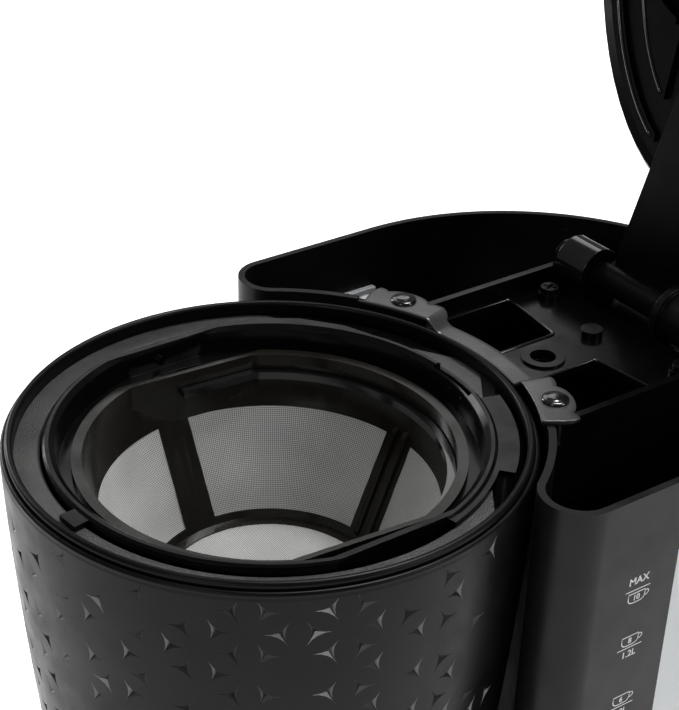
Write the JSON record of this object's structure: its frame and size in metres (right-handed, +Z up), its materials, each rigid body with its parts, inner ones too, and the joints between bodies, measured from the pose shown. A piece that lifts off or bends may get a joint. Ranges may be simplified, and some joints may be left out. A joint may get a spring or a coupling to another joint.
{
  "type": "drip coffee maker",
  "caption": "Black drip coffee maker with a dimpled round drum, a raised hinged lid, a lift-out mesh filter, a rear water tank with level marks and a glass jug.",
  "frame": {"origin": "on the table, in the middle of the box that the machine fills with its lid raised", "axes": "+Z up, -Y towards the carafe and the switch, +X to the right seen from the front"},
  "size_m": [0.173, 0.3266, 0.5136],
  "materials": {
    "matte_black": "matte, fine grain",
    "satin_black": "satin",
    "gloss_black": "gloss",
    "strap_grey": "satin",
    "filter_brown": "satin, slightly see-through brown",
    "mesh_grey": "fine woven",
    "rubber_grey": "matte",
    "seal_red": "matte",
    "hose_silicone": "satin",
    "steel_screw": "satin",
    "plate_coat": "non-stick, satin",
    "cast_aluminium": "as cast",
    "pale_plastic": "satin",
    "sleeve": "woven sleeve",
    "level_clear": "clear, frosted inside",
    "dark_pipe": "satin",
    "jug_glass": "clear"
  },
  "bodies": {
    "housing": {"base_shell": "matte_black", "bottom_plate": "matte_black", "bottom_screws": "steel_screw", "rubber_feet": "rubber_grey", "hotplate": "plate_coat", "hotplate_gasket": "rubber_grey", "heating_element": "cast_aluminium", "thermostat": "pale_plastic", "thermal_fuses": "sleeve", "element_clamp": "steel_screw", "switch_housing": "satin_black", "cord_gland": "satin_black", "terminal_block": "pale_plastic", "tank_shell": "matte_black", "level_window_right": "level_clear", "level_window_left": "level_clear", "tank_outlet": "pale_plastic", "check_valve": "pale_plastic", "inlet_hose": "hose_silicone", "outlet_hose": "hose_silicone", "riser_tube": "dark_pipe", "riser_seal": "rubber_grey", "drum_shell": "matte_black", "drum_liner": "gloss_black", "liner_screws": "steel_screw", "bridge_frame": "satin_black", "bridge_screws": "steel_screw", "strap_bracket": "strap_grey", "strap_rivets": "strap_grey", "hinge_saddle": "gloss_black", "hinge_knuckle": "satin_black", "hinge_pin": "steel_screw"},
    "lid": {"lid_outer": "matte_black", "lid_inner": "gloss_black", "lid_arm": "satin_black", "spray_head": "gloss_black"},
    "holder": {"filter_holder": "gloss_black"},
    "drip_stop": {"drip_valve": "pale_plastic", "drip_seal": "seal_red", "drip_spring": "steel_screw"},
    "filter": {"filter_frame": "filter_brown", "filter_mesh": "mesh_grey"},
    "bail": {"filter_bail": "filter_brown"},
    "carafe": {"carafe_glass": "jug_glass", "carafe_band": "steel_screw", "carafe_handle": "satin_black", "band_screw": "steel_screw"},
    "carafe_cover": {"carafe_lid": "satin_black"},
    "rocker": {"rocker_switch": "gloss_black"}
  },
  "joints": [
    {"name": "lid_hinge", "type": "hinge", "parent": "housing", "child": "lid", "pos_m": [0, 0.10172, 0.297], "axis": [-1, 0, 0], "range_deg": [-100, 0]},
    {"name": "holder_lift", "type": "slide", "parent": "housing", "child": "holder", "axis": [0, 0, 1], "range_m": [0, 0.115]},
    {"name": "filter_lift", "type": "slide", "parent": "holder", "child": "filter", "axis": [0, 0, 1], "range_m": [0, 0.075]},
    {"name": "bail_hinge", "type": "hinge", "parent": "filter", "child": "bail", "pos_m": [-0.0002, -0.04777, 0.2855], "axis": [0.9969, -0.0785, 0], "range_deg": [0, 110]},
    {"name": "drip_stop_slide", "type": "slide", "parent": "holder", "child": "drip_stop", "axis": [0, 0, 1], "range_m": [0, 0.004], "stiffness_N_per_m": 200, "springref_m": -0.01, "deforming": ["drip_spring"]},
    {"name": "carafe_slide", "type": "slide", "parent": "housing", "child": "carafe", "axis": [0, -1, 0], "range_m": [0, 0.175]},
    {"name": "carafe_lid_turn", "type": "hinge", "parent": "carafe", "child": "carafe_cover", "pos_m": [0, -0.04528, 0.174], "axis": [0, 0, 1], "range_deg": [0, 60]},
    {"name": "rocker_hinge", "type": "hinge", "parent": "housing", "child": "rocker", "pos_m": [0, -0.12228, 0.0185], "axis": [1, 0, 0], "range_deg": [0, 14]}
  ]
}
